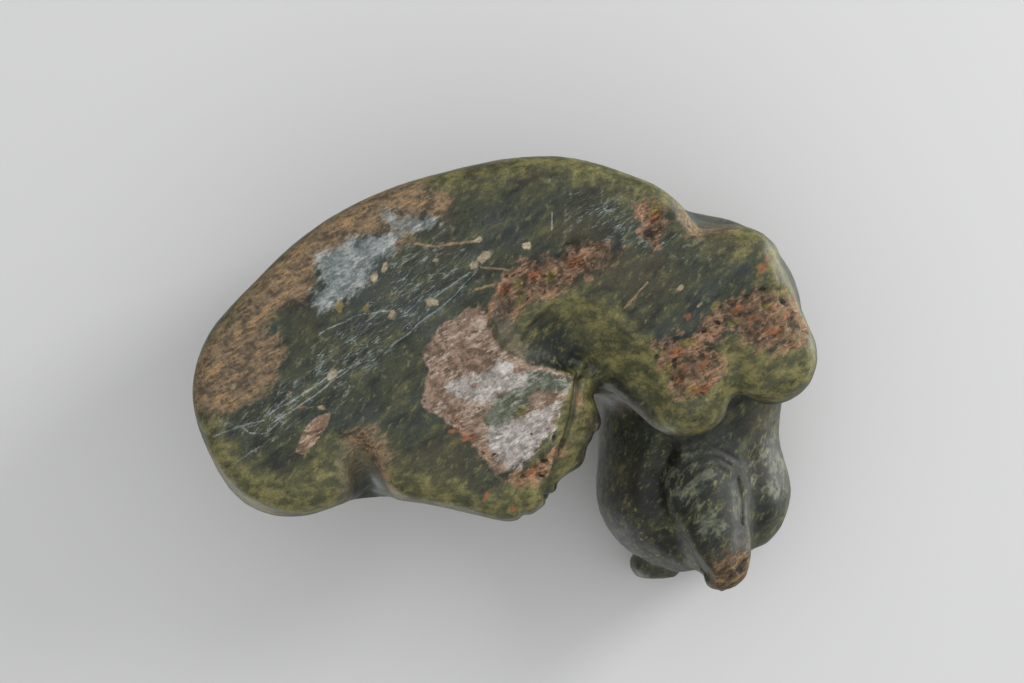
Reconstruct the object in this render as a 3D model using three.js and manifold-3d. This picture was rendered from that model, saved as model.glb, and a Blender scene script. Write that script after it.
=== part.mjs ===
// A small soapstone carving of a bear that rests curled on its flat, sanded underside.
// Millimetres, +Z up. The origin is under the middle of the bear, on the surface that it rests on.
// The rump is at +X, the shoulders at -X, and the belly, the soles and the face are towards -Y.
import * as THREE from "three";
import { MarchingCubes } from "three/addons/objects/MarchingCubes.js";
import { SimplifyModifier } from "three/addons/modifiers/SimplifyModifier.js";
import * as BufferGeometryUtils from "three/addons/utils/BufferGeometryUtils.js";
import Module from "manifold-3d";

// Driving dimensions
const bearLength = 120; // from the rump to the outer front paw, in mm
const baseEdge = 2.2; // rounding where the sides turn under, in mm
const sandedOff = 0.7; // how far up the rounding the underside is sanded flat, in mm
const facetCount = 8600; // triangles kept on the finished stone

// The stone is worked out on a grid of cubes, this many along each side of a block with room around it.
const gridCells = 124;
const blockSide = 1.1 * bearLength;
const figureReach = { y: 0.42, z: 0.53 };
const cellsUnderBase = 3;
const mostTriangles = 70000; // room for the faces that the grid lays before they are thinned out
const weld = { grid: 0.02, solid: 1e-4 }; // corners nearer than this are one, in mm
const raySteps = 60;

// All that follows is the figure, in shares of the bear's length. An oval has its middle at `at` and
// three half sizes. A limb runs from one oval section to another, each with a half width and height.
// What stands on the underside drops to it nearly upright from the middle of its height.
const soft = { body: 0.05, limb: 0.03, paw: 0.018, toe: 0.009, cut: 0.02, slope: 0.035 };
const upright = 0.3;

// The bent back, from the rump to the shoulders
const trunk = [
  { at: [0.312, -0.036, 0.17], wide: 0.191, high: 0.2 },
  { at: [0.205, 0.066, 0.185], wide: 0.194, high: 0.225 },
  { at: [0.1, 0.112, 0.19], wide: 0.204, high: 0.235 },
  { at: [-0.067, 0.148, 0.19], wide: 0.204, high: 0.238 },
  { at: [-0.165, 0.146, 0.2], wide: 0.18, high: 0.225 },
];
const spineSteps = 30;
const shoulder = { at: [-0.335, 0.092, 0.25], half: [0.166, 0.165, 0.17] };
const bellyHollow = {
  from: [-0.095, 0.028, -0.02],
  to: [-0.2, -0.1, 0.05],
  wide: [0.062, 0.095],
  high: [0.05, 0.11],
};
const rumpLobe = { at: [0.348, -0.138, 0.1], half: [0.107, 0.1, 0.11] };
const rumpNotch = {
  from: [0.232, -0.13, -0.02],
  to: [0.21, -0.205, 0.04],
  wide: [0.016, 0.03],
  high: [0.035, 0.07],
};

// Neck and head, turned to the belly side and bent down
const neck = {
  from: [-0.34, 0.08, 0.27],
  to: [-0.316, -0.12, 0.29],
  wide: [0.15, 0.153],
  high: [0.15, 0.14],
};
const skull = { at: [-0.327, -0.208, 0.305], half: [0.168, 0.138, 0.152] };
const muzzle = {
  from: [-0.322, -0.165, 0.225],
  to: [-0.362, -0.308, 0.155],
  wide: [0.092, 0.057],
  high: [0.085, 0.055],
};
const brow = {
  from: [-0.335, -0.26, 0.31],
  to: [-0.362, -0.315, 0.17],
  wide: [0.09, 0.048],
  high: [0.08, 0.05],
};
const nose = { at: [-0.366, -0.352, 0.178], half: [0.026, 0.018, 0.02] };
const ears = [
  { at: [-0.268, -0.338, 0.397], half: [0.049, 0.037, 0.049] },
  { at: [-0.437, -0.275, 0.395], half: [0.045, 0.035, 0.047] },
];
const earCups = [
  { at: [-0.268, -0.38, 0.4], half: [0.028, 0.024, 0.028] },
  { at: [-0.446, -0.312, 0.397], half: [0.025, 0.024, 0.026] },
];
const eyes = {
  towards: [[0.5, -0.84, 0.02], [-0.58, -0.8, 0.02]],
  socket: 0.026,
  ball: 0.014,
  proud: 0.012,
};
const mouth = { start: 0.045, drop: 0.02, gap: 0.006, depth: 0.012, turn: 20 };

// Front legs, which lie side by side under the neck
const frontLegs = [
  { from: [-0.19, 0.11, 0.14], to: [-0.296, -0.024, 0.08], wide: [0.115, 0.086], high: [0.12, 0.085] },
  { from: [-0.37, 0.14, 0.12], to: [-0.435, 0.022, 0.08], wide: [0.1, 0.08], high: [0.12, 0.085] },
];
const armSlope = {
  from: [-0.125, 0.062, -0.012],
  to: [-0.218, -0.062, 0],
  wide: [0.042, 0.055],
  high: [0.036, 0.05],
};
const chest = { from: [-0.27, 0.12, 0.1], to: [-0.36, 0.03, 0.1], wide: [0.09, 0.055], high: [0.12, 0.12] };
const frontCrease = {
  from: [-0.376, -0.06, -0.01],
  to: [-0.383, 0.045, -0.018],
  wide: [0.012, 0.004],
  high: [0.05, 0.022],
};

// Hind leg, with its foot along the belly side and five toes
const thigh = { at: [0.14, -0.06, 0.17], half: [0.165, 0.153, 0.16] };
const shin = {
  from: [0.152, -0.124, 0.085],
  to: [-0.01, -0.152, 0.08],
  wide: [0.085, 0.093],
  high: [0.09, 0.08],
};
const footPad = { at: [-0.035, -0.075, 0.07], half: [0.112, 0.1, 0.075] };
const toes = [
  [-0.012, -0.208, 0.066],
  [-0.058, -0.172, 0.069],
  [-0.104, -0.132, 0.072],
  [-0.129, -0.083, 0.07],
  [-0.12, -0.034, 0.066],
];
const toeHalf = [0.037, 0.037, 0.06];

// Smallest distance with a soft join, and its opposite for a cut with a soft edge
function join(a, b, reach) {
  const mix = Math.max(reach - Math.abs(a - b), 0) / reach;
  return Math.min(a, b) - (mix * mix * reach) / 4;
}

function cut(body, tool, reach) {
  return -join(-body, tool, reach);
}

// Signed distance to an oval, close to true near its surface. A low `fall` keeps its lower half upright.
function ovalDistance(px, py, pz, wideX, wideY, high, fall) {
  const tall = pz < 0 ? high / fall : high;
  const qx = px / wideX;
  const qy = py / wideY;
  const qz = pz / tall;
  const near = Math.sqrt(qx * qx + qy * qy + qz * qz);
  const [sx, sy, sz] = [qx / wideX, qy / wideY, qz / tall];
  const slope = Math.sqrt(sx * sx + sy * sy + sz * sz);
  return slope > 0 ? (near * (near - 1)) / slope : -wideX;
}

function oval({ at, half }, fall = 1) {
  return (x, y, z) => ovalDistance(x - at[0], y - at[1], z - at[2], half[0], half[1], half[2], fall);
}

// An oval that slides along a straight line from one end to the other and changes its size on the way
function limb({ from, to, wide, high }, fall = 1) {
  const [ax, ay, az] = [to[0] - from[0], to[1] - from[1], to[2] - from[2]];
  const squared = ax * ax + ay * ay + az * az;
  return (x, y, z) => {
    const [px, py, pz] = [x - from[0], y - from[1], z - from[2]];
    const t = Math.min(1, Math.max(0, (px * ax + py * ay + pz * az) / squared));
    const halfWide = wide[0] + t * (wide[1] - wide[0]);
    const halfHigh = high[0] + t * (high[1] - high[0]);
    return ovalDistance(px - t * ax, py - t * ay, pz - t * az, halfWide, halfWide, halfHigh, fall);
  };
}

// An oval that slides along a smooth curve through the given sections
function sweep(sections, steps, fall) {
  const path = new THREE.CatmullRomCurve3(sections.map(({ at }) => new THREE.Vector3(...at)));
  const halves = sections.map(({ wide, high }) => new THREE.Vector3(wide, high, 0));
  const sizes = new THREE.CatmullRomCurve3(halves);
  const rings = [];
  for (let i = 0; i <= steps; i++) {
    rings.push({ at: path.getPoint(i / steps), size: sizes.getPoint(i / steps) });
  }
  return (x, y, z) => {
    let nearest = Infinity;
    for (const { at, size } of rings) {
      const d = ovalDistance(x - at.x, y - at.y, z - at.z, size.x, size.x, size.y, fall);
      nearest = d < nearest ? d : nearest;
    }
    return nearest;
  };
}

// A slit round the far end of a limb: a thin slab across it, `drop` below its middle and turned about it
// by some degrees. It goes `depth` under the skin of the face and stays near the limb's own skin.
function slit({ from, to }, { start, drop, gap, depth, turn }) {
  const root = new THREE.Vector3(...from);
  const along = new THREE.Vector3(...to).sub(root).normalize();
  const up = new THREE.Vector3(0, 0, 1).addScaledVector(along, -along.z).normalize();
  up.applyAxisAngle(along, THREE.MathUtils.degToRad(turn));
  const level = root.dot(up) - drop;
  const reach = root.dot(along) + start;
  return (x, y, z, face, limbSkin) => {
    const above = Math.abs(x * up.x + y * up.y + z * up.z - level) - gap;
    const behind = reach - (x * along.x + y * along.y + z * along.z);
    return Math.max(above, behind, -(face + depth), limbSkin - depth);
  };
}

const forms = {
  trunk: sweep(trunk, spineSteps, upright),
  shoulder: oval(shoulder),
  thigh: oval(thigh, upright),
  bellyHollow: limb(bellyHollow),
  rumpLobe: oval(rumpLobe, upright),
  rumpNotch: limb(rumpNotch),
  neck: limb(neck),
  frontLegs: frontLegs.map((leg) => limb(leg, upright)),
  frontCrease: limb(frontCrease),
  chest: limb(chest, upright),
  armSlope: limb(armSlope),
  shin: limb(shin, upright),
  footPad: oval(footPad, upright),
  toes: toes.map((at) => oval({ at, half: toeHalf })),
  skull: oval(skull),
  muzzle: limb(muzzle),
  brow: limb(brow),
  nose: oval(nose),
  ears: ears.map((ear) => oval(ear)),
  earCups: earCups.map((cup) => oval(cup)),
  mouth: slit(muzzle, mouth),
};

// Skull and brow, which the eyes are set in
function foreheadDistance(x, y, z) {
  return join(forms.skull(x, y, z), forms.brow(x, y, z), soft.limb);
}

// The point where a line from the middle of the skull comes out of the forehead
function onForehead(direction) {
  const line = new THREE.Ray(new THREE.Vector3(...skull.at), new THREE.Vector3(...direction).normalize());
  const point = line.origin.clone();
  let travelled = 0;
  for (let i = 0; i < raySteps; i++) {
    travelled -= foreheadDistance(point.x, point.y, point.z);
    line.at(travelled, point);
  }
  return { point, outward: line.direction };
}

const eyeForms = eyes.towards.map((direction) => {
  const { point, outward } = onForehead(direction);
  const socketAt = point.clone().addScaledVector(outward, eyes.proud);
  const half = (size) => [size, size, size];
  return {
    socket: oval({ at: socketAt.toArray(), half: half(eyes.socket) }),
    ball: oval({ at: point.addScaledVector(outward, -eyes.proud).toArray(), half: half(eyes.ball) }),
  };
});

// Signed distance to the whole bear, in shares of its length: below zero inside the stone
function bearDistance(x, y, z) {
  let stone = join(forms.trunk(x, y, z), forms.shoulder(x, y, z), soft.body);
  stone = join(stone, forms.thigh(x, y, z), soft.body);
  stone = cut(stone, forms.bellyHollow(x, y, z), soft.cut);
  stone = join(stone, forms.rumpLobe(x, y, z), soft.limb);
  stone = join(stone, forms.neck(x, y, z), soft.body);
  stone = join(stone, forms.chest(x, y, z), soft.paw);
  for (const leg of forms.frontLegs) {
    stone = join(stone, leg(x, y, z), soft.paw);
  }
  stone = cut(stone, forms.armSlope(x, y, z), soft.slope);
  stone = cut(stone, forms.frontCrease(x, y, z), soft.toe);
  let foot = join(forms.shin(x, y, z), forms.footPad(x, y, z), soft.limb);
  for (const toe of forms.toes) {
    foot = join(foot, toe(x, y, z), soft.toe);
  }
  stone = join(stone, foot, soft.paw);
  stone = cut(stone, forms.rumpNotch(x, y, z), soft.cut);
  const snout = forms.muzzle(x, y, z);
  let face = join(foreheadDistance(x, y, z), snout, soft.toe);
  face = join(face, forms.nose(x, y, z), soft.toe);
  for (const ear of forms.ears) {
    face = join(face, ear(x, y, z), soft.toe);
  }
  for (const cup of forms.earCups) {
    face = cut(face, cup(x, y, z), soft.toe);
  }
  for (const eye of eyeForms) {
    face = cut(face, eye.socket(x, y, z), soft.toe);
    face = Math.min(face, eye.ball(x, y, z));
  }
  face = cut(face, forms.mouth(x, y, z, face, snout), soft.toe);
  stone = join(stone, face, soft.limb);
  return cut(stone, z + sandedOff / bearLength, (2 * baseEdge) / bearLength);
}

// Fills the grid with the distance and lays faces where it is zero
function carveGeometry() {
  const block = new MarchingCubes(gridCells, new THREE.MeshBasicMaterial(), false, false, mostTriangles);
  const cell = blockSide / gridCells / bearLength;
  const middle = gridCells / 2;
  const lowest = -cellsUnderBase * cell;
  let index = 0;
  for (let k = 0; k < gridCells; k++) {
    const z = lowest + k * cell;
    for (let j = 0; j < gridCells; j++) {
      const y = (j - middle) * cell;
      const empty = Math.abs(y) > figureReach.y || z > figureReach.z;
      for (let i = 0; i < gridCells; i++) {
        block.field[index++] = empty ? -1 : -bearDistance((i - middle) * cell, y, z);
      }
    }
  }
  block.isolation = 0;
  block.update();
  const corners = block.positionArray.slice(0, block.count * 3);
  const geometry = new THREE.BufferGeometry();
  geometry.setAttribute("position", new THREE.BufferAttribute(corners, 3));
  geometry.scale(blockSide / 2, blockSide / 2, blockSide / 2);
  geometry.translate(0, 0, blockSide / 2 + lowest * bearLength);
  return withoutSlivers(BufferGeometryUtils.mergeVertices(geometry, weld.grid));
}

// Leaves out the triangles that merging has made into a line or a point
function withoutSlivers(geometry) {
  const corners = geometry.index.array;
  const kept = [];
  for (let i = 0; i < corners.length; i += 3) {
    const [a, b, c] = [corners[i], corners[i + 1], corners[i + 2]];
    if (a !== b && b !== c && c !== a) {
      kept.push(a, b, c);
    }
  }
  geometry.setIndex(kept);
  return geometry;
}

async function bearGeometry() {
  const wasm = await Module();
  wasm.setup();
  let geometry = carveGeometry();
  const extra = geometry.getAttribute("position").count - facetCount / 2;
  geometry = await new SimplifyModifier().modify(geometry, extra);
  const stone = solidOf(wasm, geometry);
  const block = new THREE.BoxGeometry(blockSide, blockSide, blockSide);
  block.translate(0, 0, blockSide / 2);
  const cutFlat = stone.intersect(solidOf(wasm, block)).getMesh();
  const result = new THREE.BufferGeometry();
  result.setAttribute("position", new THREE.BufferAttribute(cutFlat.vertProperties, 3));
  result.setIndex(new THREE.BufferAttribute(cutFlat.triVerts, 1));
  return result;
}

function solidOf(wasm, geometry) {
  const bare = geometry.clone();
  bare.deleteAttribute("normal");
  bare.deleteAttribute("uv");
  const merged = BufferGeometryUtils.mergeVertices(bare, weld.solid);
  return new wasm.Manifold(
    new wasm.Mesh({
      numProp: 3,
      vertProperties: new Float32Array(merged.getAttribute("position").array),
      triVerts: new Uint32Array(merged.index.array),
    }),
  );
}

const geometry = await bearGeometry();
geometry.computeBoundingBox();
const box = geometry.boundingBox;
geometry.translate(-(box.min.x + box.max.x) / 2, -(box.min.y + box.max.y) / 2, -box.min.z);
geometry.computeVertexNormals();

const soapstone = new THREE.MeshStandardMaterial({ color: 0x4b5236, roughness: 0.45, metalness: 0 });
const bear = new THREE.Mesh(geometry, soapstone);
bear.name = "bear";

const group = new THREE.Group();
group.add(bear);
export default group;
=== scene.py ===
import math

import bmesh
import bpy
import numpy as np
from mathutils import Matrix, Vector, kdtree, noise


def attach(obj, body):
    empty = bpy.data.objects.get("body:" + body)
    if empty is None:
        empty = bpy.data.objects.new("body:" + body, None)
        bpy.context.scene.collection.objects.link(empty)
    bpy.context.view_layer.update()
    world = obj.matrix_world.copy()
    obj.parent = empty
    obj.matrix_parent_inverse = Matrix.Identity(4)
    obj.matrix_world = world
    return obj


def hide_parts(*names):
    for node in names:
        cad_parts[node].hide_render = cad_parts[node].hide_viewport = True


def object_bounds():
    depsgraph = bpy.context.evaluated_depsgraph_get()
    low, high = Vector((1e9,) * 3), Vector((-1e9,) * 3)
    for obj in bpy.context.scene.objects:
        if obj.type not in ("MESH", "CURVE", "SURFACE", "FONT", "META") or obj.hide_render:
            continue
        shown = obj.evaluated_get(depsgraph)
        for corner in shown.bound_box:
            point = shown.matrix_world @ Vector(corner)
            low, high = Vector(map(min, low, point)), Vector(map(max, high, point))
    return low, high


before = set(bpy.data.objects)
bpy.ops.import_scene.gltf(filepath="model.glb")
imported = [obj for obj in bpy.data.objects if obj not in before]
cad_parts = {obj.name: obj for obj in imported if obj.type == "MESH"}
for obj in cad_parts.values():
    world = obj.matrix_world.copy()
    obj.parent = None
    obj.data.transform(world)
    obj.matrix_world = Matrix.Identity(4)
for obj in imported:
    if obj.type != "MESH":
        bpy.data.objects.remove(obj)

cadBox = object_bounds()
mm = 0.001

# The camera hangs under the bear and looks straight up at its flat, sanded underside,
# so the right of the picture is -X and the top of it is +Y.
camera = {"at": (-1.44, 6.7, -545), "lens": 100, "sensor": 36}


def placeCamera():
    data = bpy.data.cameras.new("camera")
    data.lens = camera["lens"]
    data.sensor_width = camera["sensor"]
    data.clip_start = 0.01
    data.clip_end = 20
    viewer = bpy.data.objects.new("camera", data)
    viewer.location = Vector(camera["at"]) * mm
    viewer.rotation_euler = (0, math.pi, 0)
    bpy.context.scene.collection.objects.link(viewer)
    bpy.context.scene.camera = viewer


placeCamera()
print("camera placed")


# The bear is one block of stone. Places and sizes are in mm, in the frame's own axes.
bear = {
    "grain": 145,  # degrees from +X, the way that the stone is streaked and that it was sanded
    "voxel": 0.96,
    "smoothing": 2,
    "lumps": {"size": 12, "depth": 0.32},
    "toolMarks": {"size": 2.4, "depth": 0.1},
    # The cut edge of the underside is rubbed round, most on the toes and paws: where, how far, how much
    "worn": {"rounds": 76, "height": 4.5, "edge": 0.16, "places": [
        (-39, -6, 11, 1), (-53, 2, 10, 1), (-57, 12, 7, 0.8), (-4, -20, 9, 0.7), (-13, -8, 8, 0.7),
        (44, -21, 14, 1), (33, -22, 6, 0.7), (14, -22, 10, 0.6), (-25, -2, 9, 0.5), (-44, 25, 6, 0.5)]},
    # Places that are drawn smooth all round, in three axes: the CAD solid's crease beside the muzzle
    "eased": [(-33, -20, 22, 8), (-35, -27, 22, 8), (-37, -33, 20, 6)],
    # The toes at the end of the foot lie deeper than its sole
    "toeBand": {"outline": [(-14.6, -0.5), (-13.4, -9.1), (-10.8, -17.5), (-8, -24), (-16, -26), (-24, -18),
                            (-24, -6), (-21, 1)], "deep": 2.2, "edge": 1.1},
    "rimWide": 4.8,  # how far the paler green of the edge, partly wear and partly painted light, reaches in
    # How softly each kind of patch ends
    "patchEdge": {"rind": 7, "chalk": 5.5, "rust": 4.5, "scored": 9,
                  "sole": 1.8, "white": 3.5, "island": 2.5},
    "rough": {  # how deep the natural skin of the stone lies in each kind of patch, and how coarse it is
        "rind": {"depth": 0.22, "size": 1.1},
        "chalk": {"depth": 0.3, "size": 1.6},
        "rust": {"depth": 1.2, "size": 1.7},
        "sole": {"depth": 0.5, "size": 1.5},
    },
    "patches": {
        "rind": [
            [(48, 20), (53, 11), (59, 6), (62, -2), (62, -7), (56, -7.6), (49, -4.7), (44, -1),
             (42, 6), (46.5, 9), (45, 12), (42, 14.6), (37.7, 18)],
            [(48, 18.5), (42, 24), (38, 28.5), (32, 33), (21.4, 38), (17.7, 38.5), (10.4, 33.8), (11, 30.2),
             (15, 30.8), (17.7, 26.5), (20.6, 24.8), (22, 27.9), (29, 26.5), (36.3, 21), (38, 14),
             (42, 14.7)],
            [(30, -11.5), (25, -10.5), (21.5, -15), (22, -23), (26.5, -25), (27.5, -17)],
            [(-10.6, 6), (-18.3, 3.1), (-26, -3.6), (-27.9, -8.4), (-23.1, -6.4), (-16.4, -1.6),
             (-11.6, 2.2)],
            [(-32, 35), (-42, 31), (-45, 28), (-36, 26)],
        ],
        "chalk": [
            [(35.6, 22.5), (29, 26.5), (20.4, 27.3), (21.6, 24.8), (25.6, 20.4), (29.2, 16), (35, 12.2),
             (37.5, 14.1), (35, 18.5)],
            [(24, 31), (18, 31.5), (12.5, 29), (16, 28), (21, 28.5)],
        ],
        "sole": [
            [(8, 12.7), (4.3, 13.3), (3.5, 10.8), (2.6, 8.5), (2, 6), (-1.8, 4.1), (-5.3, 2.4), (-9.3, 1.4),
             (-13.6, 0.7), (-13.6, -1.1), (-12.2, -4.1), (-10.2, -8), (-8, -12), (-6, -14.1), (-2.8, -16.4),
             (0.7, -18.7), (3, -17), (5.8, -12.8), (8.3, -11), (11, -8.5), (15.6, -6), (16, -3.9),
             (14.5, 1.2), (15.8, 4.7), (12.4, 8.9)],
        ],
        "white": [
            [(11, -1.6), (6.6, 0.3), (0.9, 2.2), (-3, 0.9), (-7.8, 0.3), (-10.6, -0.7), (-6.8, -2.2),
             (0, -3), (4.7, -4.5), (9.5, -4.9)],
            [(2.8, -11.2), (0, -8.4), (-4.9, -7.4), (-8.6, -5.9), (-10.8, -5), (-9.8, -8.8), (-7.8, -11.8),
             (-5.5, -14.5), (-3, -16.6), (0, -17.6), (2.4, -15)],
        ],
        "island": [
            [(4.7, -7.6), (0.3, -3.4), (-2.2, -2), (-6, -1.6), (-6.4, -3), (-4.5, -4.9), (-2, -7.7),
             (0.3, -9.4), (3.4, -9.5)],
            [(-4.5, 1.4), (-8.7, 0.7), (-13.4, -0.2), (-12.8, -2.6), (-8.4, -3.4), (-5, -1.6)],
        ],
        "rust": [
            [(2.4, 11), (1.6, 15.6), (0.3, 19.6), (-3.5, 21.9), (-10.4, 23.1), (-12, 25.4), (-15.2, 26.3),
             (-22.5, 24.2), (-18.5, 21.2), (-12.9, 17.7), (-5.7, 15), (0.9, 10.4)],
            [(-40.4, 12.7), (-44.2, 14.7), (-48, 16.6), (-54.7, 17.5), (-60, 14.7), (-60.5, 8.9), (-56.6, 6),
             (-50.9, 4.7), (-46.1, 6), (-44.2, 8.9), (-41.3, 9.9)],
            [(-28.9, 6), (-31.7, 7.9), (-35.6, 7.4), (-39.8, 6), (-41.7, 2.2), (-40.9, -1.6), (-39, -4.5),
             (-34.6, -5.1), (-32.1, -2.6), (-29.8, 1.2)],
            [(-36.5, 8), (-41, 7), (-43, 10), (-39, 11.5)],
            [(-26, 33.3), (-29, 33.3), (-31.9, 31.5), (-31.3, 28.5), (-28.9, 24.5), (-26.5, 25.9)],
            [(10.5, -7.4), (4.7, -12.6), (1.8, -18), (-3, -21.5), (-8.5, -19), (-12, -13.5), (-9.2, -14.2),
             (-5, -17.5), (-2, -18.8), (0.9, -18.9), (4.7, -14.1), (8, -10.6)],
            [(-16, -2.5), (-18.8, -5), (-17.5, -9), (-15, -8.4)],
        ],
        "scored": [  # where the flat is scratched most
            [(57, -10), (47, -15), (33, -8), (20, 3), (6.6, 14.7), (0.9, 23), (12, 29), (20, 27), (27.7, 15),
             (41, 3), (50.7, -4.5)],
            [(-10, 37), (-26, 36), (-41, 27), (-40, 20), (-26, 22), (-12.6, 28)],
        ],
    },
    # Carved lines: between the toes, the mouth, the folds of the throat, the valleys beside the muzzle and
    # the shallow dips of the underside
    "grooves": [
        {"line": [(-2.2, -20.2), (-3.4, -24), (-3.9, -28)], "wide": 0.9, "deep": 0.5, "heights": (0.3, 12)},
        {"line": [(-6.1, -16.9), (-7.4, -19.8), (-8.6, -24)],
         "wide": 0.9, "deep": 0.5, "heights": (0.3, 12)},
        {"line": [(-12, -13.1), (-11.8, -16.5), (-10.5, -21)],
         "wide": 0.9, "deep": 0.6, "heights": (0.3, 12)},
        {"line": [(-14, -10.9), (-16.6, -11.2), (-20, -12)], "wide": 0.9, "deep": 0.6, "heights": (0.3, 12)},
        {"line": [(-15.3, -4.6), (-20, -3.4)], "wide": 0.9, "deep": 0.4, "heights": (0.4, 12)},
        {"line": [(-14.5, 0.5), (-14.1, -3.5), (-13, -9.1), (-11, -15), (-9.4, -20), (-9, -24)],
         "wide": 0.75, "deep": 1.1, "heights": (-1, 12)},
        {"line": [(29.2, -12.6), (27.3, -17), (26.5, -24)], "wide": 2.4, "deep": 1.4, "heights": (-1, 16)},
        {"line": [(-46.6, -20.8), (-47.3, -25), (-47, -29)], "wide": 0.4, "deep": 0.4, "heights": (8, 34)},
        {"line": [(-47.5, -36.7), (-46.3, -38.6)], "wide": 0.7, "deep": 0.7, "heights": (5, 34)},
        {"line": [(-34.2, -15.2), (-38.7, -14), (-42.3, -14.6), (-46, -16.6)],
         "wide": 0.6, "deep": 0.2, "heights": (8, 40)},
        {"line": [(-36, -17), (-39.7, -15.9), (-42.7, -16.5), (-45, -18)],
         "wide": 0.5, "deep": 0.17, "heights": (8, 40)},
        {"line": [(-37.5, -18.6), (-40.3, -17.8), (-42.7, -18.4), (-44.4, -19.4)],
         "wide": 0.5, "deep": 0.14, "heights": (8, 40)},
        {"line": [(-32, -15), (-29.6, -21), (-30, -26.3), (-32.4, -31.3), (-34.9, -35.5), (-38.5, -40)],
         "wide": 1.9, "deep": 1.9, "heights": (8, 42)},
        {"line": [(-49.6, -17.1), (-50.8, -25.1), (-51.4, -33), (-50.2, -38.5)],
         "wide": 1.9, "deep": 0.9, "heights": (8, 42)},
        {"line": [(-51.6, -30.7), (-56.4, -28.7)], "wide": 0.4, "deep": 0.2, "heights": (8, 45)},
        {"line": [(-43.4, 4), (-44.6, 0), (-45.5, -6)], "wide": 2.2, "deep": 1.0, "heights": (-1, 14)},
        {"line": [(-38.5, 30), (-32.1, 25.6), (-27.5, 21.5)], "wide": 2.6, "deep": 0.5, "heights": (-1, 6)},
        {"line": [(60, -11), (48.8, -15.6), (39.2, -16.4), (31, -13)],
         "wide": 2.8, "deep": 0.5, "heights": (-1, 6)},
        {"line": [(-21.6, 12), (-26, 6.2), (-31.2, -1.3)], "wide": 2.6, "deep": 0.3, "heights": (-1, 8)},
    ],
    # Scratches that a hard grain has torn into the flat underside
    "scratches": [
        [(21.6, 5.8), (9.3, 15.8), (5.1, 20.6)],
        [(45.1, -7.2), (35.4, -1.3), (25, 4.5)],
        [(44, -8.6), (36, -3.4), (30, 1.2)],
        [(35.6, 7.9), (29, 11.6), (22.1, 12.5)],
        [(30.6, 6.4), (27.5, 8.3)],
        [(56.8, -12), (51.7, -9.9), (46.3, -8.5)],
        [(52.6, -17.2), (46.9, -13.5)],
        [(-9.1, 31.3), (-9.2, 28.1)],
        [(18.7, 12), (15.4, 15.4)],
        [(14.3, 14.7), (6.6, 20)],
        [(50.7, -9.5), (48.8, -11), (45.7, -11), (43.4, -8.9)],
    ],
    "scratch": {"wide": 0.14, "deep": 0.12},
    "veinWide": 0.25,
    # Thin veins of pale brown mineral
    "veins": [
        [(17.3, 25.4), (13.1, 25.1), (9.1, 25.4), (5.3, 26.1)],
        [(4.5, 21), (-0.5, 20.3)],
        [(5.3, 16.6), (2, 17.7)],
        [(-23.1, 13.3), (-27.3, 18.1)],
    ],
    # Crumbs of other minerals in the flat underside: where, and how wide
    "crumbs": {
        "cream": [(4.1, 22.9, 1.5), (5.7, 21.4, 0.9), (13.8, 14.3, 1.2), (21.6, 11.8, 1), (13.2, 22.2, 0.6),
                  (35.2, -6, 1), (33, 0.4, 1.3), (-4.2, 25.1, 0.9), (-37.3, 13.7, 0.8), (52, -1.8, 0.9),
                  (-33.8, 17, 0.8), (5, 26.2, 0.7), (23, 21, 1), (24.9, 18.9, 0.9)],
        "ochre": [(31.6, 13.7, 1.2), (26.5, 13, 0.9), (-3.1, 14.8, 1.3), (-3.1, -6.6, 1.3), (-29, 31.7, 1.3),
                  (-38.2, 1.7, 0.9), (-34.8, 6.5, 1.6), (-40.2, 13.5, 0.9), (-5, -26, 1.3),
                  (-17.3, -6, 1.5), (-15.8, -12.5, 1.3), (-12.6, -17.2, 1.2), (-54, 16, 1.5),
                  (-49.5, 13.6, 1.2), (-31, 1, 1.6), (-9, 19, 1.5), (-2.5, 17.8, 1.3), (-44, 10.5, 1.2),
                  (-36.5, -2.5, 1.3)],
        "orange": [(41.4, -3.1, 0.6), (38.7, -5.8, 0.6), (-35, 11.6, 1.2), (7, -11.8, 1.3), (5.8, -1.8, 0.8),
                   (-5.2, -18.5, 1.1), (-1.8, -25.8, 1.2), (3.4, -22.9, 1), (-44.4, 12.8, 1.4),
                   (-49.4, 20.8, 1.3), (-50.5, 22.7, 0.9), (-33.5, -0.3, 1.1), (-11.3, 4, 1),
                   (-16, -4, 1.3), (10, -10.5, 1), (-17.2, -9.2, 1.2), (-14.3, -15, 1), (-57.6, 12.6, 1.9),
                   (-52, 8.6, 1.5), (-47.4, 11, 1.2), (-38.2, 2.4, 1.4), (-33, 4.6, 1.2),
                   (-13.6, 22, 1.5), (-5.6, 19.4, 1.4), (0, 16.6, 1.3),
                   (-38, -2.6, 1.6), (-54.6, 12, 1.1), (-34.6, 1.6, 1), (-28.6, 30.4, 1.2)],
    },
    "crumbDeep": 0.12,
    # Small holes where crumbs have fallen out
    "pits": [(-29, 3.8, 0.6), (-32.6, 2.4, 0.9), (-38.3, 8.7, 0.8), (-40.9, 10.3, 0.7), (-8, -16.4, 0.6),
             (-7.6, -19.5, 0.5), (-9.5, -12, 0.7), (-27.7, 27.3, 1.1), (-54.5, 14.7, 1), (-56.1, 11.6, 1),
             (-5.2, -11, 0.5), (2, -15, 0.5)],
    "pitDeep": 0.7,
    # Ring grooves round the eyes, and the nostrils
    "eyes": {"places": [(-29.4, -38.4, 37), (-48.9, -37.6, 37)], "ring": 1.9, "wide": 0.5, "deep": 0.55},
    "nostrils": {"places": [(-41.8, -42.3, 20.4), (-44.6, -42.3, 20.4)],
                 "ring": 0, "wide": 0.75, "deep": 0.6},
    # Tints round some places, in three axes and how far round: pale dust in the carving of the head, the
    # rusty tips of the muzzle and of an ear, and painted shade, the stone made darkest in the hollow and on
    # the head
    "tints": {
        "dust": {"strength": 0.5, "places": [(-57, -18, 24, 11), (-36, -20, 17, 8), (-41, -30, 14, 5)]},
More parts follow.
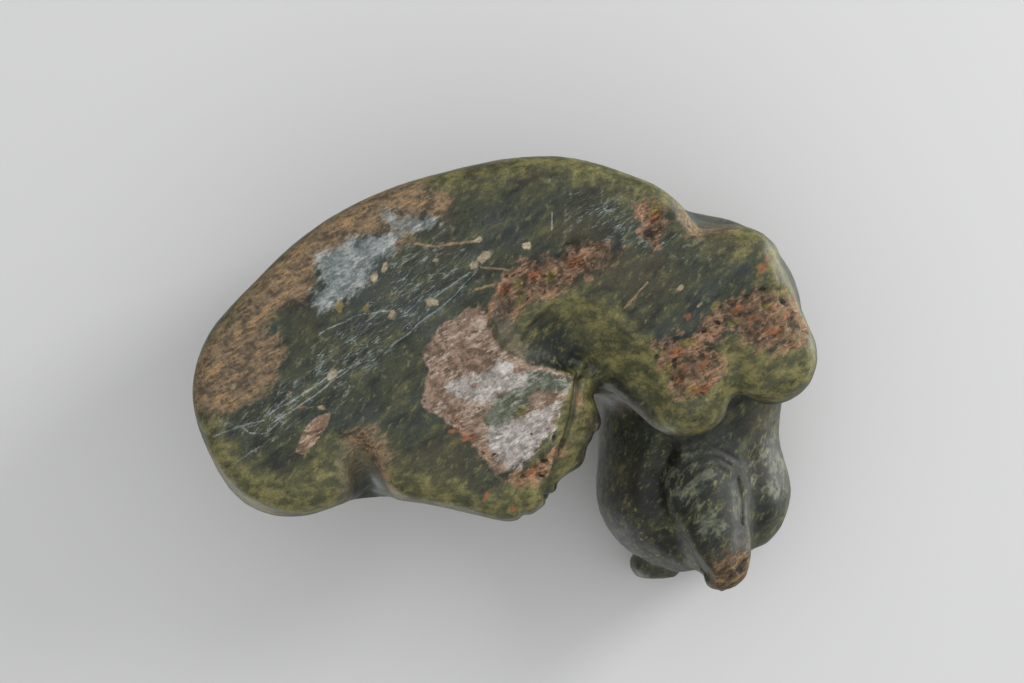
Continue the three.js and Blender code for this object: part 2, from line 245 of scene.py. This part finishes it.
        "tip": {"strength": 0.62, "places": [(-44, -38.5, 16, 9), (-31, -42, 49, 4)]},
        "paintedShade": {"strength": 1, "places": [(-6, 6, 3, 9), (-40, -22, 22, 22), (-30, -30, 24, 16),
                                            (-22, -14, 14, 14)]},
    },
    # A shallow chip in the flat
    "chip": {"outline": [(39.8, -14.5), (38.4, -11), (37.1, -8.9), (35.2, -7.6), (33.6, -7.2), (34, -8.9),
                         (35.2, -10.8), (37.1, -13.3), (38.6, -14.7)], "deep": 0.5, "edge": 0.9},
    "smears": [  # pale dust left in the hollow beside the foot and in the hollow of the rump
        {"line": [(0.9, 12.8), (-0.2, 9.5), (-3, 4)], "wide": 1.8},
        {"line": [(28, -14), (27, -22)], "wide": 5},
    ],
    # Where the mesh is made finer: the flat, the head and the foot as seen from below, with how far the
    # surface may turn up, and how far round the thin lines and the features of the face
    "fine": [
        {"x": (-99, 99), "y": (-99, 99), "z": (-99, 1.2), "up": -0.5},
        {"x": (-99, -14), "y": (-99, -2), "z": (4, 99), "up": 0.15},
        {"x": (-20, 8), "y": (-30, 8), "z": (-99, 9), "up": 0.4},
    ],
    "fineRound": {"line": 0.55, "face": 3.2},
}


def smoothStep(low, high, value):
    t = np.clip((value - low) / (high - low), 0, 1)
    return t * t * (3 - 2 * t)


def lineDistance(points, line):
    nearest = np.full(len(points), 1e9)
    for start, end in zip(line, line[1:]):
        start = np.array(start, float)
        along = np.array(end, float) - start
        t = np.clip((points[:, :2] - start) @ along / (along @ along), 0, 1)
        gap = points[:, :2] - start - t[:, None] * along
        nearest = np.minimum(nearest, np.hypot(gap[:, 0], gap[:, 1]))
    return nearest


# From 1 on a line down to 0 well away from it
def nearLine(points, line, wide):
    return np.exp(-(lineDistance(points, line) / wide) ** 2)


# Distance to an outline, positive inside it
def outlineDistance(points, outline):
    closed = outline + outline[:1]
    x, y = points[:, 0], points[:, 1]
    inside = np.zeros(len(points), bool)
    for (ax, ay), (bx, by) in zip(closed, closed[1:]):
        if ay != by:
            inside ^= ((ay > y) != (by > y)) & (x < (bx - ax) * (y - ay) / (by - ay) + ax)
    away = lineDistance(points, closed)
    return np.where(inside, away, -away)


# An uneven pattern from 0 to 1 whose lumps are about one size across
def unevenness(points, size, octaves):
    places = [Vector(p) for p in points / size]
    return np.clip(0.5 + 0.5 * np.array([noise.fractal(p, 1, 2.1, octaves) for p in places]), 0, 1)


# Three uneven patterns, as a shift of each point in three axes
def wander(points, size, octaves, shifts):
    return np.stack([unevenness(points + shift, size, octaves) - 0.5 for shift in shifts], 1)


def newObject(name, mesh):
    made = bpy.data.objects.new(name, mesh)
    bpy.context.scene.collection.objects.link(made)
    return made


# Draws each point towards its neighbours, by its own weight
def relax(points, edges, weight, rounds):
    a, b = edges.T
    count = np.bincount(edges.ravel(), minlength=len(points))[:, None]
    for _ in range(rounds):
        total = np.zeros_like(points)
        for i in range(3):
            total[:, i] += np.bincount(a, points[b, i], len(points))
            total[:, i] += np.bincount(b, points[a, i], len(points))
        points = points + 0.5 * weight[:, None] * (total / count - points)
    return points


# How far each place of the underside is rubbed round, from 0 to 1
def wornWeight(points):
    worn = bear["worn"]
    weight = np.full(len(points), worn["edge"])
    for x, y, reach, amount in worn["places"]:
        away = np.hypot(points[:, 0] - x, points[:, 1] - y)
        weight = np.maximum(weight, amount * smoothStep(1.25 * reach, 0.5 * reach, away))
    weight *= smoothStep(worn["height"] * 1.6, worn["height"], points[:, 2])
    for x, y, z, reach in bear["eased"]:
        away = np.linalg.norm(points - (x, y, z), axis=1)
        weight = np.maximum(weight, smoothStep(reach, 0.5 * reach, away))
    return weight


def surfaceOf(bm):
    bm.normal_update()
    points = np.array([v.co[:] for v in bm.verts]) / mm
    normals = np.array([v.normal[:] for v in bm.verts])
    return points, normals


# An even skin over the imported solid, soft where its facets meet, with its lower edge rubbed round
def roughOut():
    bm = bmesh.new()
    bm.from_mesh(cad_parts["bear"].data)
    bmesh.ops.remove_doubles(bm, verts=bm.verts, dist=1e-6)
    block = bpy.data.meshes.new("block")
    bm.to_mesh(block)
    bm.free()
    blank = newObject("blank", block)
    even = blank.modifiers.new("even", "REMESH")
    even.mode = "VOXEL"
    even.voxel_size = bear["voxel"] * mm
    ready = blank.evaluated_get(bpy.context.evaluated_depsgraph_get())
    bm = bmesh.new()
    bm.from_mesh(ready.data)
    bpy.data.objects.remove(blank)
    for _ in range(bear["smoothing"]):
        bmesh.ops.smooth_vert(bm, verts=bm.verts, factor=0.5,
                              use_axis_x=True, use_axis_y=True, use_axis_z=True)
    bm.verts.index_update()
    points = surfaceOf(bm)[0]
    edges = np.array([(e.verts[0].index, e.verts[1].index) for e in bm.edges])
    band = bear["toeBand"]
    inBand = smoothStep(-0.6 * band["edge"], band["edge"], outlineDistance(points, band["outline"]))
    points[:, 2] += band["deep"] * inBand * smoothStep(9, 0, points[:, 2])
    rounded = relax(points, edges, wornWeight(points), bear["worn"]["rounds"])
    for v, place in zip(bm.verts, rounded * mm):
        v.co = place
    return bm


# Halves the edges where the surface is wanted finer
def refine(bm, wanted):
    chosen = wanted(*surfaceOf(bm))
    bm.verts.index_update()
    edges = [e for e in bm.edges if chosen[e.verts[0].index] and chosen[e.verts[1].index]]
    bmesh.ops.subdivide_edges(bm, edges=edges, cuts=1, use_grid_fill=True)


def seenFromBelow(points, normals):
    seen = np.zeros(len(points), bool)
    for box in bear["fine"]:
        inBox = normals[:, 2] < box["up"]
        for axis, name in enumerate("xyz"):
            low, high = box[name]
            inBox &= (points[:, axis] > low) & (points[:, axis] < high)
        seen |= inBox
    return seen


def nearLines(points, normals):
    z, down = points[:, 2], normals[:, 2]
    near = np.zeros(len(points), bool)
    for line in bear["scratches"] + bear["veins"]:
        near |= (lineDistance(points, line) < bear["fineRound"]["line"]) & (z < 0.5) & (down < -0.5)
    for groove in bear["grooves"]:
        low, high = groove["heights"]
        beside = (groove["wide"] < 1) & (lineDistance(points, groove["line"]) < 1.5 * groove["wide"])
        near |= beside & (z > low) & (z < high) & (down < 0.3)
    return near


def nearFace(points, normals):
    near = np.zeros(len(points), bool)
    for place in bear["eyes"]["places"] + bear["nostrils"]["places"]:
        near |= np.linalg.norm(points - place, axis=1) < bear["fineRound"]["face"]
    return near


# Where each kind of patch lies on the surface, from 0 to 1, with 0.5 on its outline
def patchMasks(points, normals):
    facing = smoothStep(0.3, -0.5, normals[:, 2]) * smoothStep(7, 1.5, points[:, 2])
    warped = points + 1.3 * wander(points, 5, 3, (0, 40, 80))
    masks = {}
    for kind, outlines in bear["patches"].items():
        depth = np.full(len(points), -1e9)
        for outline in outlines:
            depth = np.maximum(depth, outlineDistance(warped, outline))
        masks[kind] = facing * np.clip(0.5 + depth / bear["patchEdge"][kind], 0, 1)
    return masks


# Crumbs and holes lie along the grain and no two are alike
def spots(points, normals, places):
    onBase = smoothStep(-0.4, -0.8, normals[:, 2]) * smoothStep(4, 2, points[:, 2])
    warp = 1.1 * wander(points, 1.2, 2, (11, 60))
    amount = np.zeros(len(points))
    for x, y, wide in places:
        turn = math.radians(bear["grain"] + 40 * math.sin(7 * x + 3 * y))
        across, up = (points[:, :2] + wide * warp - (x, y)).T
        along = (across * math.cos(turn) + up * math.sin(turn)) / 1.5
        aside = up * math.cos(turn) - across * math.sin(turn)
        amount = np.maximum(amount, np.clip(1.2 - np.hypot(along, 1.2 * aside) / wide, 0, 1))
    return amount * onBase


# How near the worn edge is, from 1 at the edge to 0 inside the flat
def rimNearness(points, flat):
    sides = points[(flat < 0.05) & (points[:, 2] < 3)][::3]
    tree = kdtree.KDTree(len(sides))
    for i, place in enumerate(sides):
        tree.insert((place[0], place[1], 0), i)
    tree.balance()
    away = np.zeros(len(points))
    for i in np.flatnonzero(flat > 0.05):
        away[i] = tree.find((points[i, 0], points[i, 1], 0))[2]
    return np.exp(-(away / bear["rimWide"]) ** 2) * smoothStep(9, 4, points[:, 2])


# How deep the rough skin of the stone lies in the patches, and where it is lowest, which the colour darkens
# as painted shade
def skinDepth(points, masks):
    depth = np.zeros(len(points))
    masks["low"] = np.zeros(len(points))
    for kind, rough in bear["rough"].items():
        skin = np.clip(3 * np.abs(unevenness(points + 20, rough["size"], 4) - 0.5), 0, 1)
        here = smoothStep(0.35, 0.7, masks[kind])
        depth += rough["depth"] * here * (0.15 + 0.85 * skin)
        masks["low"] = np.maximum(masks["low"], here * skin)
    return depth


# How deep the grooves, eyes and nostrils are, and the thin ones' mask, which is painted dark as shade in
# them
def grooveDepth(points, normals, masks):
    height, down = points[:, 2], normals[:, 2]
    depth = np.zeros(len(points))
    masks["creaseShade"] = np.zeros(len(points))
    for groove in bear["grooves"]:
        low, high = groove["heights"]
        reach = smoothStep(low - 0.5, low + 0.5, height) * smoothStep(high + 0.5, high - 0.5, height)
        near = nearLine(points, groove["line"], groove["wide"]) * reach * smoothStep(0.5, 0.1, down)
        depth += groove["deep"] * near
        if groove["wide"] < 0.8:
            masks["creaseShade"] = np.maximum(masks["creaseShade"], near)
    for one in (bear["eyes"], bear["nostrils"]):
        for place in one["places"]:
            away = np.linalg.norm(points - place, axis=1)
            near = np.exp(-((away - one["ring"]) / one["wide"]) ** 2)
            depth += one["deep"] * near
            masks["creaseShade"] = np.maximum(masks["creaseShade"], near)
    return depth


# How deep the marks of the flat are: scratches, veins, holes, crumbs and the chip, and their masks
def markDepth(points, normals, sanded, masks):
    bent = points + 0.5 * wander(points, 4, 2, (5, 90, 30))
    masks["scratch"] = np.zeros(len(points))
    masks["vein"] = np.zeros(len(points))
    for line in bear["scratches"]:
        near = nearLine(bent, line, bear["scratch"]["wide"]) * sanded
        masks["scratch"] = np.maximum(masks["scratch"], near)
    for line in bear["veins"]:
        near = nearLine(bent, line, bear["veinWide"]) * smoothStep(-0.5, -0.9, normals[:, 2])
        masks["vein"] = np.maximum(masks["vein"], near)
    masks["pitShade"] = spots(points, normals, bear["pits"])
    depth = bear["scratch"]["deep"] * masks["scratch"] + bear["pitDeep"] * smoothStep(0, 0.8, masks["pitShade"])
    for kind, places in bear["crumbs"].items():
        masks[kind] = spots(points, normals, places)
        depth += bear["crumbDeep"] * masks[kind]
    chip = outlineDistance(points, bear["chip"]["outline"])
    masks["chip"] = smoothStep(-0.6, 0, chip) * sanded
    return depth + bear["chip"]["deep"] * smoothStep(-0.2, bear["chip"]["edge"], chip) * sanded


# What is only colour: dust in the hollows, the green of the worn edge, partly painted light where the
# rounded edge catches it, and the tints, among them painted shade
def paintMasks(points, normals, sanded, masks):
    height, down = points[:, 2], normals[:, 2]
    masks["smear"] = np.zeros(len(points))
    for one in bear["smears"]:
        near = nearLine(points, one["line"], one["wide"]) * smoothStep(0.2, -0.2, down)
        masks["smear"] = np.maximum(masks["smear"], near * smoothStep(12, 6, height))
    masks["sanded"] = sanded
    # The paler edge is partly wear and partly painted light, where the rounded edge catches the light
    masks["rimWornAndLit"] = rimNearness(points, sanded) * (0.7 + 0.5 * wornWeight(points))
    for kind, tint in bear["tints"].items():
        masks[kind] = np.zeros(len(points))
        for x, y, z, reach in tint["places"]:
            away = np.linalg.norm(points - (x, y, z), axis=1)
            near = tint["strength"] * smoothStep(1.2 * reach, 0.3 * reach, away)
            masks[kind] = np.maximum(masks[kind], near)
    # The painted shade lies only on unsanded faces that turn downwards
    masks["paintedShade"] *= (1 - sanded) * smoothStep(0.4, -0.1, down)


def carveBear():
    bm = roughOut()
    refine(bm, seenFromBelow)
    refine(bm, nearLines)
    refine(bm, nearFace)
    refine(bm, nearFace)
    points, normals = surfaceOf(bm)
    sanded = smoothStep(0.7, 0.2, points[:, 2]) * smoothStep(-0.75, -0.95, normals[:, 2])
    lumps, marks = bear["lumps"], bear["toolMarks"]
    depth = (1 - sanded) * lumps["depth"] * unevenness(points, lumps["size"], 2)
    depth += (1 - 0.75 * sanded) * marks["depth"] * unevenness(points + 7, marks["size"], 3)
    masks = patchMasks(points, normals)
    depth += skinDepth(points, masks)
    depth += grooveDepth(points, normals, masks)
    depth += markDepth(points, normals, sanded, masks)
    paintMasks(points, normals, sanded, masks)
    low, high = (np.array(corner) / mm for corner in cadBox)
    carved = np.clip(points - normals * depth[:, None], low, high)
    for v, place in zip(bm.verts, carved * mm):
        v.co = place
    bmesh.ops.triangulate(bm, faces=bm.faces)
    mesh = bpy.data.meshes.new("bear_carving")
    bm.to_mesh(mesh)
    bm.free()
    mesh.validate()
    for name, amount in masks.items():
        mesh.attributes.new(name, "FLOAT", "POINT").data.foreach_set("value", amount.astype(np.float32))
    mesh.polygons.foreach_set("use_smooth", np.ones(len(mesh.polygons), bool))
    print("triangles", len(mesh.polygons))
    return newObject("bear_carving", mesh)


carving = carveBear()
print("bear carved")


def linear(code):
    parts = [int(code[i:i + 2], 16) / 255 for i in (1, 3, 5)]
    return [p / 12.92 if p <= 0.04045 else ((p + 0.055) / 1.055) ** 2.4 for p in parts] + [1]


def addNode(tree, kind, sockets=None, **settings):
    made = tree.nodes.new(kind)
    for name, value in settings.items():
        setattr(made, name, value)
    for socket, value in (sockets or {}).items():
        if isinstance(value, bpy.types.Node):
            value = next(out for out in value.outputs if out.enabled)
        if isinstance(value, bpy.types.NodeSocket):
            tree.links.new(value, made.inputs[socket])
        else:
            made.inputs[socket].default_value = value
    return made


# Serpentine, the green stone sold as soapstone: rasped, sanded, rubbed with wax and buffed, so it is dark
# and softly shiny. The underside was only sanded flat, so it is paler and duller, with the weathered skin
# of the block left in its low places.
soapstone = {
    "patterns": {  # size in mm across the streaks, and how much longer along them
        "cloud": {"size": 14, "stretch": 1.5, "detail": 3, "roughness": 0.5},
        "mottle": {"size": 2.9, "stretch": 2.4, "detail": 9, "roughness": 0.68},
        "patchy": {"size": 2.1, "stretch": 1.5, "detail": 6, "roughness": 0.65, "turn": 20},
        "fleck": {"size": 1.05, "stretch": 2.0, "detail": 4, "roughness": 0.6, "turn": -25},
        "grit": {"size": 0.36, "stretch": 1.3, "detail": 3, "roughness": 0.7},
        "streak": {"size": 0.55, "stretch": 4, "detail": 5, "roughness": 0.65, "turn": 6},
        "hair": {"size": 1.7, "stretch": 11, "detail": 3, "roughness": 0.5},
        "hairSteep": {"size": 1.5, "stretch": 8, "detail": 3, "roughness": 0.5, "turn": -11},
        "hairLevel": {"size": 1.6, "stretch": 9, "detail": 3, "roughness": 0.5, "turn": 17},
    },
    # The finest sanding scratches run where a long thin pattern crosses its middle value, this near to it,
    # and are drawn just wide enough to show
    "hairWidths": {"hair": 0.012, "hairSteep": 0.014, "hairLevel": 0.011},
    # Weighted sums of patterns and painted areas, each after the number that it starts from
    "sums": {
        # The worn edge's field also holds painted light on the rounded edge
        "worn": (-0.8, {"rimWornAndLit": 1, "mottle": 1.6, "paintedShade": -0.7}),
        "shown": (0, {"patchy": 1.6, "scored": 0.5, "fleck": 0.8}),
        "ragged": (-0.8, {"mottle": 1, "fleck": 0.6}),
        # the lowest places of the rough skin take the darker tone, as painted shade
        "middleTone": (0, {"patchy": 1, "streak": 0.5, "low": -0.25}),
        "lightTone": (0, {"streak": 1, "mottle": 1}),
    },
    # Layers of colour from the bottom up: each tone, and the fields that show it, multiplied together, each
    # with the values between which it changes and how much shows at either end
    "ground": "#1a1d16",
    "layers": [
        {"tone": "#393e2b", "by": [("mottle", 0.38, 0.52, 0, 1)]},  # green
        {"tone": "#4c412e", "by": [("cloud", 0.5, 0.68, 0, 0.6)]},  # brown clouds
        {"tone": "#384346", "by": [("cloud", 0.5, 0.34, 0, 0.5)]},  # blue-grey clouds
        {"tone": "#69663b", "by": [("mottle", 0.52, 0.7, 0, 0.85)]},  # olive
        {"tone": "#4f4f30", "by": [("worn", 0.15, 0.95, 0, 0.78)]},  # the worn edge, partly painted light where the rounded edge catches it, and its paler blotches
        {"tone": "#8d8650", "by": [("worn", 0.15, 0.95, 0, 0.78), ("patchy", 0.4, 0.64, 0, 1)]},
        # painted shade: near-black green in the hollow and on the head, with more pale flecks on it next
        {"tone": "#12150f", "by": [("paintedShade", 0, 1, 0, 1), ("mottle", 0.42, 0.62, 0.8, 0.25)]},
        {"tone": "#98925c", "by": [("fleck", 0.52, 0.72, 0, 1), ("patchy", 0.4, 0.62, 0.15, 0.55),
                                   ("paintedShade", 0, 1, 1, 1.4)]},
        {"tone": "#1a1d16", "by": [("fleck", 0.42, 0.3, 0, 0.6)]},
        {"tone": "#97a3a2", "by": [("hairs", 0, 1, 0, 1)]},
    ],
    "roughness": {"buffed": 0.45, "sanded": 0.52, "skin": 0.85},
    "ior": 1.46,
    # Each kind of patch: three tones, how its edge breaks up, how much it covers, and whether it is dull
    "skins": {
        "smear": {"tones": ("#4c4a3e", "#6f6656", "#8e8372"), "broken": 1.1, "cover": 0.6, "dull": True},
        "rind": {"tones": ("#5d5042", "#8f7961", "#ae8c66"), "broken": 1.1, "cover": 0.88, "dull": True},
        "chalk": {"tones": ("#757f7e", "#9ca3a3", "#c2c4c1"), "broken": 1.5, "cover": 0.85, "dull": True},
        "sole": {"tones": ("#6f5b4b", "#a38977", "#c8b5a6"), "broken": 0.9, "cover": 0.92, "dull": True},
        "white": {"tones": ("#98918b", "#bdb7b2", "#dbd6d1"), "broken": 2.4, "cover": 0.85},
        "island": {"tones": ("#4b5646", "#6b7565", "#8f9686"), "broken": 1.2, "cover": 0.85},
        "dust": {"tones": ("#4d5345", "#747a6b", "#9aa092"), "broken": 2.6, "cover": 0.34},
        "rust": {"tones": ("#4f4234", "#8a6b55", "#bb8d70"), "broken": 2.8, "cover": 0.78, "dull": True},
        "tip": {"tones": ("#30281d", "#6b4a35", "#9c8258"), "broken": 2.6, "cover": 0.75, "dull": True},
        "vein": {"tones": ("#6e5a44", "#93795a", "#b59a78"), "broken": 0.8, "cover": 0.8},
        "chip": {"tones": ("#574236", "#967a64", "#ceb59d"), "broken": 0.5, "cover": 0.9, "dull": True},
        "ochre": {"tones": ("#5f5a30", "#85783e", "#a89149"), "broken": 1.2, "cover": 0.75},
        "orange": {"tones": ("#5e3b28", "#8f5736", "#b9754c"), "broken": 1.3, "cover": 0.72},
        "cream": {"tones": ("#84755c", "#a89679", "#cdbd9f"), "broken": 1.1, "cover": 0.88},
        "scratch": {"tones": ("#6c7876", "#8d9897", "#b4bdbc"), "broken": 1.6, "cover": 0.7},
        # painted shade inside the thin grooves, the eye rings and the nostrils
        "creaseShade": {"tones": ("#1b1d17", "#23241b", "#2b2c22"), "broken": 0.6, "cover": 0.6},
        # painted shade inside the small holes
        "pitShade": {"tones": ("#1f1712", "#2b1f18", "#3a2a20"), "broken": 0.5, "cover": 0.9},
    },
    "grit": ("#cdcdcd", "#ffffff"),
}


def waxedSoapstone():
    paint = bpy.data.materials.new("soapstone_waxed")
    paint.use_nodes = True
    tree = paint.node_tree
    tree.nodes.clear()
    soft = {"interpolation_type": "SMOOTHSTEP"}
    tinted = {"data_type": "RGBA"}
    times = {"operation": "MULTIPLY"}
    addScaled = {"operation": "MULTIPLY_ADD"}
    place = addNode(tree, "ShaderNodeTexCoord").outputs["Object"]
    field = {name: addNode(tree, "ShaderNodeAttribute", attribute_name=name).outputs["Fac"]
             for name in [*soapstone["skins"], "sanded", "rimWornAndLit", "scored", "paintedShade", "low"]}
    for name, one in soapstone["patterns"].items():
        turn = math.radians(bear["grain"] + one.get("turn", 0))
        laid = {"Vector": place, "Rotation": (0, 0, turn), "Scale": (one["stretch"], 1, 1)}
        laid = addNode(tree, "ShaderNodeMapping", laid, vector_type="TEXTURE")
        field[name] = addNode(tree, "ShaderNodeTexNoise", {
            "Vector": laid, "Scale": 1 / (one["size"] * mm),
            "Detail": one["detail"], "Roughness": one["roughness"]})
    for name, (total, parts) in soapstone["sums"].items():
        for part, weight in parts.items():
            total = addNode(tree, "ShaderNodeMath", {0: field[part], 1: weight, 2: total}, **addScaled)
        field[name] = total

    hairs = 0
    for name, wide in soapstone["hairWidths"].items():
        off = addNode(tree, "ShaderNodeMath", {0: field[name], 1: 0.5}, operation="SUBTRACT")
        off = addNode(tree, "ShaderNodeMath", {0: off}, operation="ABSOLUTE")
        thin = addNode(tree, "ShaderNodeMapRange", {0: off, 1: wide, 2: 0.2 * wide}, **soft)
        hairs = addNode(tree, "ShaderNodeMath", {0: thin, 1: hairs}, operation="MAXIMUM")
    for name, low, high, least, most in (("sanded", 0, 1, 0.4, 1), ("shown", 1.25, 2.1, 0, 0.85)):
        part = {0: field[name], 1: low, 2: high, 3: least, 4: most}
        part = addNode(tree, "ShaderNodeMapRange", part, **soft)
        hairs = addNode(tree, "ShaderNodeMath", {0: hairs, 1: part}, **times)
    field["hairs"] = hairs

    colour = linear(soapstone["ground"])
    for layer in soapstone["layers"]:
        amount = 1
        for name, low, high, least, most in layer["by"]:
            part = {0: field[name], 1: low, 2: high, 3: least, 4: most}
            part = addNode(tree, "ShaderNodeMapRange", part, **soft)
            amount = addNode(tree, "ShaderNodeMath", {0: part, 1: amount}, **times)
        colour = addNode(tree, "ShaderNodeMix", {0: amount, 6: colour, 7: linear(layer["tone"])}, **tinted)

    middle = addNode(tree, "ShaderNodeMapRange", {0: field["middleTone"], 1: 0.5, 2: 0.8}, **soft)
    light = addNode(tree, "ShaderNodeMapRange", {0: field["lightTone"], 1: 0.98, 2: 1.2}, **soft)
    bare = 0
    for name, skin in soapstone["skins"].items():
        inside = addNode(tree, "ShaderNodeMapRange", {0: field[name], 1: 0.02, 2: 0.25}, **soft)
        edge = {0: field["ragged"], 1: skin["broken"], 2: field[name]}
        edge = addNode(tree, "ShaderNodeMath", edge, **addScaled)
        edge = addNode(tree, "ShaderNodeMath", {0: edge, 1: inside}, **times)
        amount = addNode(tree, "ShaderNodeMapRange", {0: edge, 1: 0.3, 2: 0.7, 4: skin["cover"]}, **soft)
        tones = [linear(tone) for tone in skin["tones"]]
        tone = addNode(tree, "ShaderNodeMix", {0: middle, 6: tones[0], 7: tones[1]}, **tinted)
        tone = addNode(tree, "ShaderNodeMix", {0: light, 6: tone, 7: tones[2]}, **tinted)
        colour = addNode(tree, "ShaderNodeMix", {0: amount, 6: colour, 7: tone}, **tinted)
        if skin.get("dull"):
            bare = addNode(tree, "ShaderNodeMath", {0: amount, 1: bare}, operation="MAXIMUM")

    gritty = addNode(tree, "ShaderNodeMapRange", {0: field["grit"], 1: 0.3, 2: 0.66}, **soft)
    dim, full = (linear(tone) for tone in soapstone["grit"])
    shade = addNode(tree, "ShaderNodeMix", {0: gritty, 6: dim, 7: full}, **tinted)
    colour = addNode(tree, "ShaderNodeMix", {0: 1, 6: colour, 7: shade}, blend_type="MULTIPLY", **tinted)

    rough = soapstone["roughness"]
    dull = addNode(tree, "ShaderNodeMapRange", {
        0: field["sanded"], 3: rough["buffed"] - 0.25, 4: rough["sanded"] - 0.25}, **soft)
    dull = addNode(tree, "ShaderNodeMath", {0: field["patchy"], 1: 0.5, 2: dull}, **addScaled)
    dull = addNode(tree, "ShaderNodeMath", {0: field["paintedShade"], 1: 0.12, 2: dull}, **addScaled)
    dull = addNode(tree, "ShaderNodeMix", {0: bare, 2: dull, 3: rough["skin"]})

    relief = addNode(tree, "ShaderNodeMath", {0: hairs, 1: -0.6}, **times)
    for name, weight in (("grit", 0.4), ("fleck", 0.8)):
        relief = addNode(tree, "ShaderNodeMath", {0: field[name], 1: weight, 2: relief}, **addScaled)
    relief = addNode(tree, "ShaderNodeBump", {"Height": relief, "Strength": 0.35, "Distance": 0.2 * mm})
    stone = addNode(tree, "ShaderNodeBsdfPrincipled", {
        "Base Color": colour, "Roughness": dull, "Normal": relief, "IOR": soapstone["ior"]})
    addNode(tree, "ShaderNodeOutputMaterial", {"Surface": stone})
    return paint


carving.data.materials.append(waxedSoapstone())
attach(carving, "root")
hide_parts("bear")
print("stone finished")

# The pale studio: a floor for views from above, and the table that the bear lies on in the main view.
# Each is seen from one side only and lets light through, so that neither shades the other's view.
stage = {
    "size": 1.6,  # m
    "gap": 0.3,  # mm between the bear and each sheet
    "colour": "#dadada",
    "world": "#eff0f0",
    "worldStrength": 0.5,
    "aim": (0, 0, 20),  # mm
    # Area lights: where in mm, how wide and high in m, and how many watts
    "lights": {
        "sky": {"at": (-60, 40, -1400), "size": (2.9, 2.9), "power": 15.5},
        "window": {"at": (-620, 380, -480), "size": (0.22, 0.34), "power": 2},
        "side window": {"at": (-850, 420, -180), "size": (0.5, 0.5), "power": 3},
        "high window": {"at": (-1300, 500, 560), "size": (1.3, 1.1), "power": 16},
        "lamp in front": {"at": (700, -900, 700), "size": (0.9, 0.7), "power": 4},
    },
}


def stageSheet(name, height, turned):
    bm = bmesh.new()
    bmesh.ops.create_grid(bm, x_segments=1, y_segments=1, size=stage["size"] / 2)
    if turned:
        bmesh.ops.reverse_faces(bm, faces=bm.faces)
    bmesh.ops.translate(bm, verts=bm.verts, vec=(0, 0, height))
    mesh = bpy.data.meshes.new(name)
    bm.to_mesh(mesh)
    bm.free()
    sheet = newObject(name, mesh)
    for ray in ("diffuse", "glossy", "transmission", "shadow", "volume_scatter"):
        setattr(sheet, "visible_" + ray, False)
    paint = bpy.data.materials.new(name)
    paint.use_nodes = True
    tree = paint.node_tree
    tree.nodes.clear()
    side = addNode(tree, "ShaderNodeNewGeometry")
    matt = addNode(tree, "ShaderNodeBsdfDiffuse", {"Color": linear(stage["colour"])})
    clear = addNode(tree, "ShaderNodeBsdfTransparent")
    mixed = addNode(tree, "ShaderNodeMixShader",
                    {0: side.outputs["Backfacing"], 1: matt.outputs[0], 2: clear.outputs[0]})
    addNode(tree, "ShaderNodeOutputMaterial", {"Surface": mixed.outputs[0]})
    mesh.materials.append(paint)


def addLight(name, light):
    data = bpy.data.lights.new(name, "AREA")
    data.shape = "RECTANGLE"
    data.size, data.size_y = light["size"]
    data.energy = light["power"]
    lamp = bpy.data.objects.new(name, data)
    lamp.location = Vector(light["at"]) * mm
    lamp.rotation_euler = (Vector(stage["aim"]) - Vector(light["at"])).to_track_quat("-Z", "Y").to_euler()
    bpy.context.scene.collection.objects.link(lamp)


def studio():
    low, high = cadBox
    stageSheet("floor", low.z - stage["gap"] * mm, False)
    stageSheet("table", high.z + stage["gap"] * mm, True)
    world = bpy.data.worlds.new("studio")
    world.use_nodes = True
    backdrop = world.node_tree.nodes["Background"]
    backdrop.inputs["Color"].default_value = linear(stage["world"])
    backdrop.inputs["Strength"].default_value = stage["worldStrength"]
    bpy.context.scene.world = world
    for name, light in stage["lights"].items():
        addLight(name, light)
    bpy.context.scene.view_settings.view_transform = "Standard"


studio()
print("studio set")
